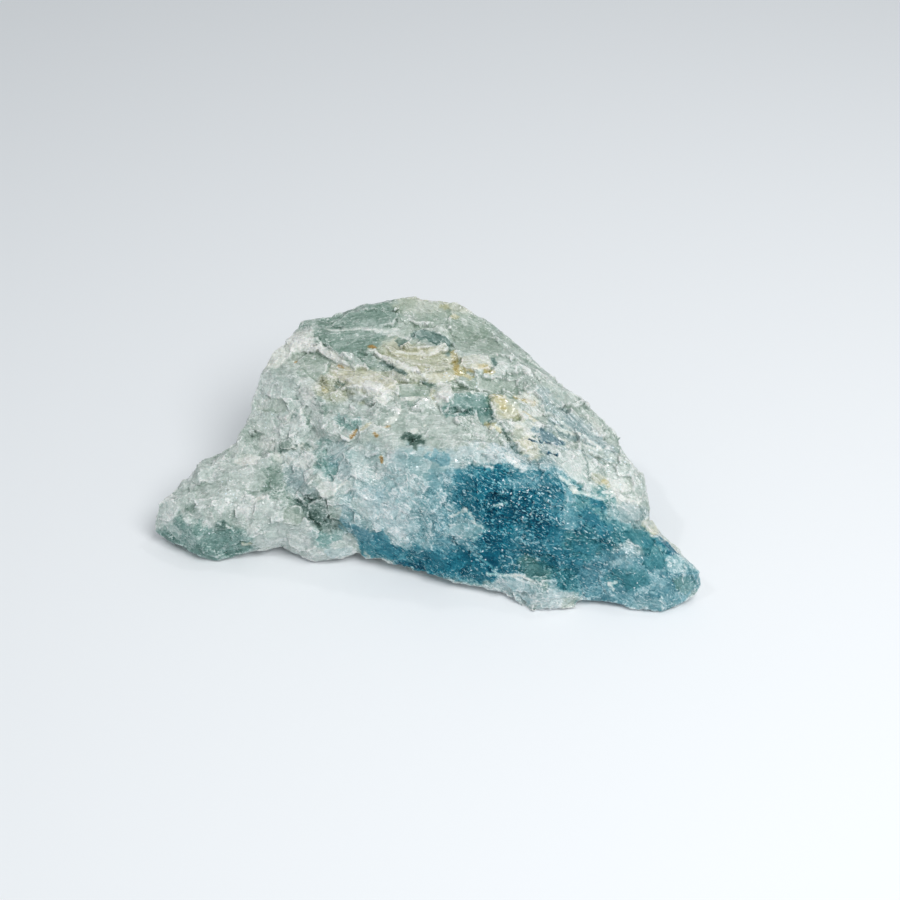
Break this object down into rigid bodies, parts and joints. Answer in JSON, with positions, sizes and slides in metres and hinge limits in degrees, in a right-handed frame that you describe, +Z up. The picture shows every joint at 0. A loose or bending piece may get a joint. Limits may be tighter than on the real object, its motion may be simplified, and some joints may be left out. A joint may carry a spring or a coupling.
{
  "type": "rough aquamarine crystal",
  "caption": "Rough lump of aquamarine, a low wedge of broken crystal with a ledged upper face, a steep front and a tapering arm at each end.",
  "frame": {"origin": "middle of the underside of the bounding box, on the table", "axes": "+X to the right along the longest side, +Y to the back where the crown stands, +Z up"},
  "size_m": [0.0672, 0.0418, 0.0207],
  "materials": {
    "stone": "cloudy, broken, glassy on the fresh faces; pale green-grey with a deep blue front and ochre stains"
  },
  "bodies": {
    "root": {"rough_aquamarine": "stone"}
  },
  "joints": []
}
